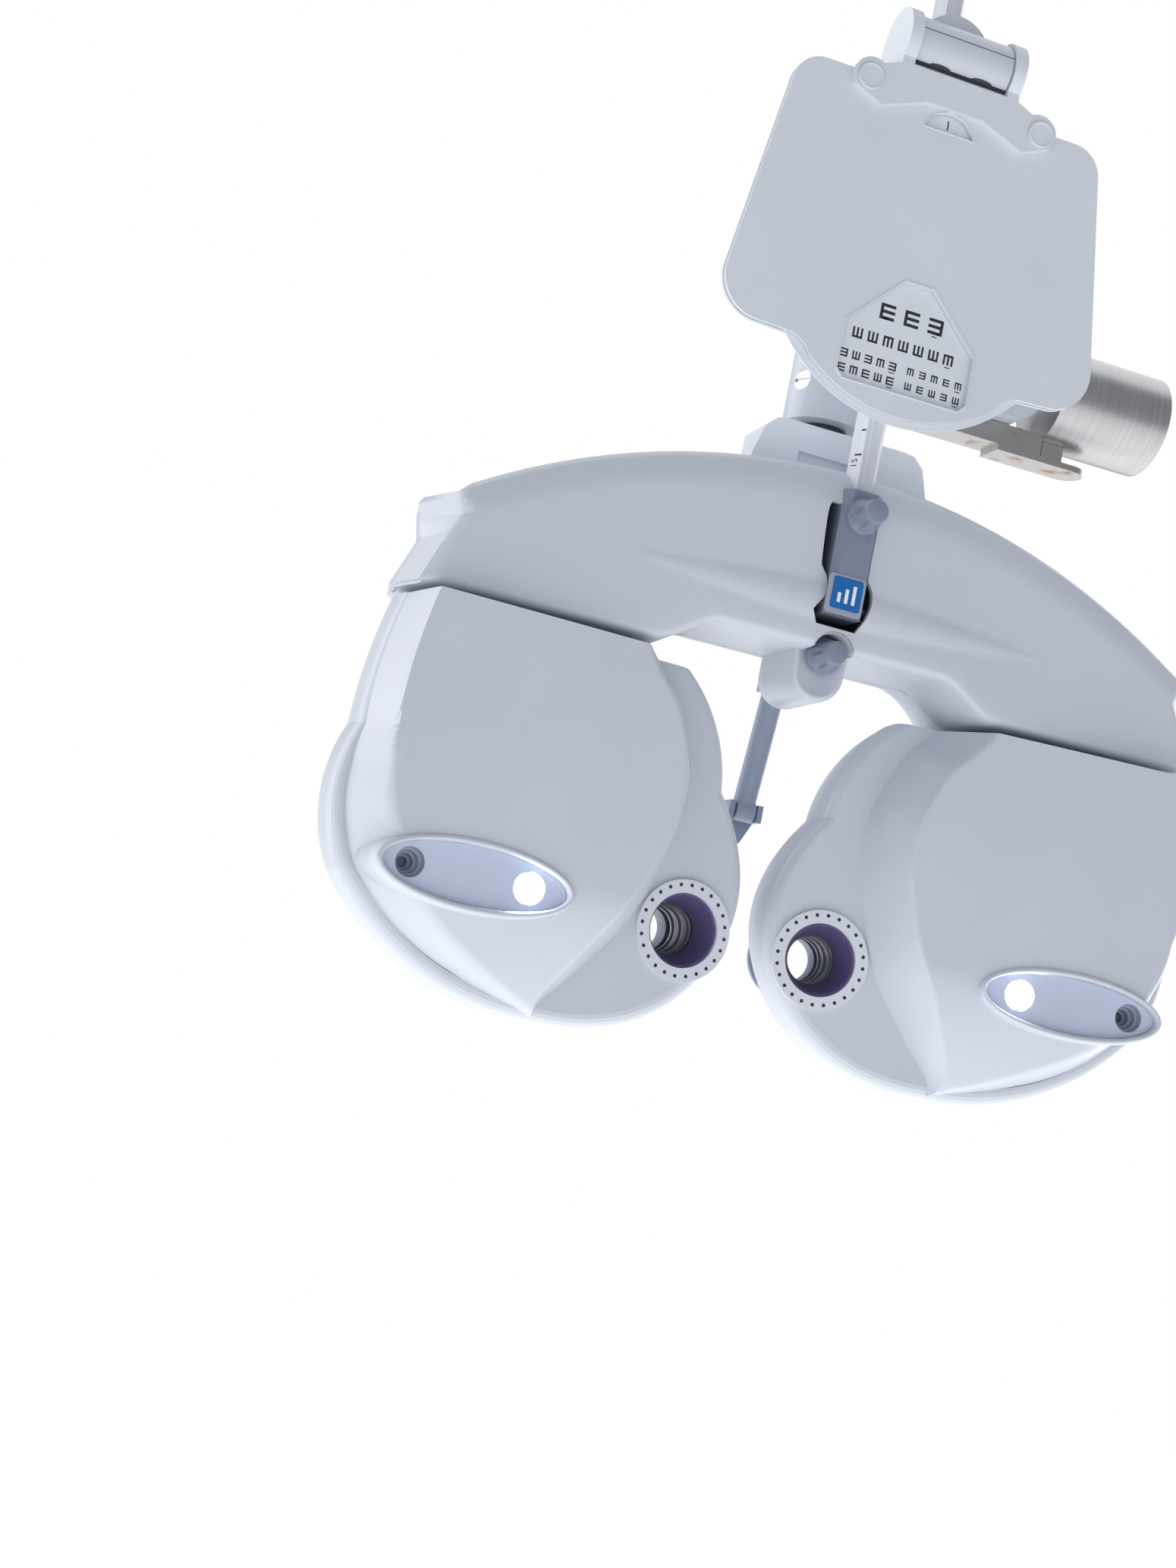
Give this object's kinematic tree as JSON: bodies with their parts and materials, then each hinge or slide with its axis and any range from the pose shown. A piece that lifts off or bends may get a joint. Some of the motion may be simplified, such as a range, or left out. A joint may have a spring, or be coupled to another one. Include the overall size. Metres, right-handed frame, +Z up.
{
  "type": "phoropter",
  "caption": "Motorised phoropter: two hinged lens heads under an arched body, a hexagonal near-point rod with a sliding chart, a forehead rest and a hanger socket.",
  "frame": {"origin": "centre of the mouth of the arm socket, on the bore's axis", "axes": "+X out of the socket's mouth, +Y from the operator's side to the patient's side, +Z up"},
  "size_m": [0.3524, 0.103, 0.5905],
  "materials": {
    "pale_plastic": "satin",
    "window_plastic": "satin",
    "bluegrey_plastic": "satin",
    "dark_plastic": "satin",
    "ring_plastic": "satin",
    "lamp_lens": "clear",
    "lens_glass": "clear",
    "steel": "brushed",
    "bar_steel": "worn",
    "rod_metal": "satin",
    "disc_metal": "anodised",
    "brass": "satin",
    "motor_metal": "satin",
    "card": "matt",
    "pad_rubber": "matt"
  },
  "bodies": {
    "hanger": {"arm_sleeve": "steel", "mounting_bar": "bar_steel", "hanger_block": "pale_plastic", "hanger_screw": "steel"},
    "collar": {"swivel_collar": "dark_plastic"},
    "arch": {"body_front_shell": "pale_plastic", "body_rear_shell": "pale_plastic", "top_cap": "pale_plastic", "guide_rails": "steel"},
    "near_rod_assembly": {"rod_holder": "bluegrey_plastic", "near_rod": "rod_metal"},
    "rod_clamp_knob": {"rod_knob": "bluegrey_plastic"},
    "chart_slider": {"chart_carrier": "pale_plastic"},
    "chart": {"chart_bracket": "pale_plastic", "chart_front_plate": "pale_plastic", "chart_back_plate": "pale_plastic"},
    "chart_dial": {"chart_disc": "card"},
    "forehead_slider": {"forehead_arm": "bluegrey_plastic"},
    "forehead_screw_knob": {"forehead_knob": "bluegrey_plastic"},
    "forehead_rest": {"forehead_pad": "pad_rubber"},
    "right_carriage": {"right_pd_carriage": "dark_plastic"},
    "right_head": {"right_front_cover": "pale_plastic", "right_front_housing": "pale_plastic", "right_rear_housing": "pale_plastic", "right_chassis": "disc_metal", "right_disc_axle": "steel", "right_drive_motors": "motor_metal", "right_aperture_ring": "ring_plastic", "right_aperture_tube": "dark_plastic", "right_lamp_visor": "window_plastic", "right_lamp": "lamp_lens", "right_eyepiece": "bluegrey_plastic"},
    "right_auxiliary_wheel": {"right_auxiliary_disc": "disc_metal"},
    "right_auxiliary_drive": {"right_auxiliary_pinion": "brass"},
    "right_cylinder_wheel": {"right_cylinder_disc": "disc_metal", "right_cylinder_lenses": "lens_glass"},
    "right_cylinder_drive": {"right_cylinder_pinion": "brass"},
    "right_sphere_wheel": {"right_sphere_disc": "disc_metal", "right_sphere_lenses": "lens_glass"},
    "right_sphere_drive": {"right_sphere_pinion": "brass"},
    "left_carriage": {"left_pd_carriage": "dark_plastic"},
    "left_head": {"left_front_cover": "pale_plastic", "left_front_housing": "pale_plastic", "left_rear_housing": "pale_plastic", "left_chassis": "disc_metal", "left_disc_axle": "steel", "left_drive_motors": "motor_metal", "left_aperture_ring": "ring_plastic", "left_aperture_tube": "dark_plastic", "left_lamp_visor": "window_plastic", "left_lamp": "lamp_lens", "left_eyepiece": "bluegrey_plastic"},
    "left_auxiliary_wheel": {"left_auxiliary_disc": "disc_metal"},
    "left_auxiliary_drive": {"left_auxiliary_pinion": "brass"},
    "left_cylinder_wheel": {"left_cylinder_disc": "disc_metal", "left_cylinder_lenses": "lens_glass"},
    "left_cylinder_drive": {"left_cylinder_pinion": "brass"},
    "left_sphere_wheel": {"left_sphere_disc": "disc_metal", "left_sphere_lenses": "lens_glass"},
    "left_sphere_drive": {"left_sphere_pinion": "brass"}
  },
  "joints": [
    {"name": "body_swivel", "type": "hinge", "parent": "hanger", "child": "collar", "pos_m": [-0.146, -0.001, -0.044], "axis": [0, 0, 1], "range_deg": [-15, 15]},
    {"name": "level_tilt", "type": "hinge", "parent": "collar", "child": "arch", "pos_m": [-0.146, -0.001, -0.061], "axis": [0, 1, 0], "range_deg": [-2.5, 2.5]},
    {"name": "right_pd_slide", "type": "slide", "parent": "arch", "child": "right_carriage", "axis": [1, 0, 0], "range_m": [-0.0053, 0.0087]},
    {"name": "right_convergence", "type": "hinge", "parent": "right_carriage", "child": "right_head", "pos_m": [-0.04425, -0.00585, -0.162], "axis": [0, 0, 1], "range_deg": [0, 5.5]},
    {"name": "right_auxiliary_turn", "type": "hinge", "parent": "right_head", "child": "right_auxiliary_wheel", "pos_m": [-0.07375, -0.02009, -0.239], "axis": [0.0958, 0.9954, 0], "continuous": true},
    {"name": "right_auxiliary_pinion_turn", "type": "hinge", "parent": "right_head", "child": "right_auxiliary_drive", "pos_m": [-0.00905, -0.02632, -0.25046], "axis": [0.0958, 0.9954, 0], "continuous": true},
    {"name": "right_cylinder_turn", "type": "hinge", "parent": "right_head", "child": "right_cylinder_wheel", "pos_m": [-0.07375, -0.02009, -0.239], "axis": [0.0958, 0.9954, 0], "continuous": true},
    {"name": "right_cylinder_pinion_turn", "type": "hinge", "parent": "right_head", "child": "right_cylinder_drive", "pos_m": [-0.01202, -0.02603, -0.21643], "axis": [0.0958, 0.9954, 0], "continuous": true},
    {"name": "right_sphere_turn", "type": "hinge", "parent": "right_head", "child": "right_sphere_wheel", "pos_m": [-0.07375, -0.02009, -0.239], "axis": [0.0958, 0.9954, 0], "continuous": true},
    {"name": "right_sphere_pinion_turn", "type": "hinge", "parent": "right_head", "child": "right_sphere_drive", "pos_m": [-0.03152, -0.02416, -0.18844], "axis": [0.0958, 0.9954, 0], "continuous": true},
    {"name": "left_pd_slide", "type": "slide", "parent": "arch", "child": "left_carriage", "axis": [1, 0, 0], "range_m": [-0.0087, 0.0053]},
    {"name": "left_convergence", "type": "hinge", "parent": "left_carriage", "child": "left_head", "pos_m": [-0.24775, -0.00585, -0.162], "axis": [0, 0, 1], "range_deg": [-5.5, 0]},
    {"name": "left_auxiliary_turn", "type": "hinge", "parent": "left_head", "child": "left_auxiliary_wheel", "pos_m": [-0.21825, -0.02009, -0.239], "axis": [-0.0958, 0.9954, 0], "continuous": true},
    {"name": "left_auxiliary_pinion_turn", "type": "hinge", "parent": "left_head", "child": "left_auxiliary_drive", "pos_m": [-0.28295, -0.02632, -0.25046], "axis": [-0.0958, 0.9954, 0], "continuous": true},
    {"name": "left_cylinder_turn", "type": "hinge", "parent": "left_head", "child": "left_cylinder_wheel", "pos_m": [-0.21825, -0.02009, -0.239], "axis": [-0.0958, 0.9954, 0], "continuous": true},
    {"name": "left_cylinder_pinion_turn", "type": "hinge", "parent": "left_head", "child": "left_cylinder_drive", "pos_m": [-0.27998, -0.02603, -0.21643], "axis": [-0.0958, 0.9954, 0], "continuous": true},
    {"name": "left_sphere_turn", "type": "hinge", "parent": "left_head", "child": "left_sphere_wheel", "pos_m": [-0.21825, -0.02009, -0.239], "axis": [-0.0958, 0.9954, 0], "continuous": true},
    {"name": "left_sphere_pinion_turn", "type": "hinge", "parent": "left_head", "child": "left_sphere_drive", "pos_m": [-0.26048, -0.02416, -0.18844], "axis": [-0.0958, 0.9954, 0], "continuous": true},
    {"name": "rod_fold", "type": "hinge", "parent": "arch", "child": "near_rod_assembly", "pos_m": [-0.146, -0.052, -0.124], "axis": [1, 0, 0], "range_deg": [0, 90]},
    {"name": "rod_knob_turn", "type": "hinge", "parent": "near_rod_assembly", "child": "rod_clamp_knob", "pos_m": [-0.146, -0.061, -0.09], "axis": [0, 1, 0], "range_deg": [-90, 90]},
    {"name": "chart_slide", "type": "slide", "parent": "near_rod_assembly", "child": "chart_slider", "axis": [0, 0, 1], "range_m": [-0.02, 0.17]},
    {"name": "chart_tilt", "type": "hinge", "parent": "chart_slider", "child": "chart", "pos_m": [-0.146, -0.068, 0.093], "axis": [1, 0, 0], "range_deg": [-90, 0]},
    {"name": "chart_dial_turn", "type": "hinge", "parent": "chart", "child": "chart_dial", "pos_m": [-0.146, -0.073, 0.008], "axis": [0, 1, 0], "continuous": true},
    {"name": "forehead_slide", "type": "slide", "parent": "arch", "child": "forehead_slider", "axis": [0, 1, 0], "range_m": [-0.003, 0.009]},
    {"name": "forehead_knob_turn", "type": "hinge", "parent": "arch", "child": "forehead_screw_knob", "pos_m": [-0.146, -0.047, -0.1435], "axis": [0, 1, 0], "range_deg": [-90, 270]},
    {"name": "forehead_pad_tilt", "type": "hinge", "parent": "forehead_slider", "child": "forehead_rest", "pos_m": [-0.146, 0.007, -0.202], "axis": [1, 0, 0], "range_deg": [-12, 12]}
  ],
  "couplings": [
    {"joint": "right_auxiliary_pinion_turn", "follows": "right_auxiliary_turn", "ratio": -6.3333},
    {"joint": "right_cylinder_pinion_turn", "follows": "right_cylinder_turn", "ratio": -6.3333},
    {"joint": "right_sphere_pinion_turn", "follows": "right_sphere_turn", "ratio": -6.3333},
    {"joint": "left_auxiliary_pinion_turn", "follows": "left_auxiliary_turn", "ratio": -6.3333},
    {"joint": "left_cylinder_pinion_turn", "follows": "left_cylinder_turn", "ratio": -6.3333},
    {"joint": "left_sphere_pinion_turn", "follows": "left_sphere_turn", "ratio": -6.3333},
    {"joint": "forehead_knob_turn", "follows": "forehead_slide", "rad_per_m": 523.6}
  ]
}
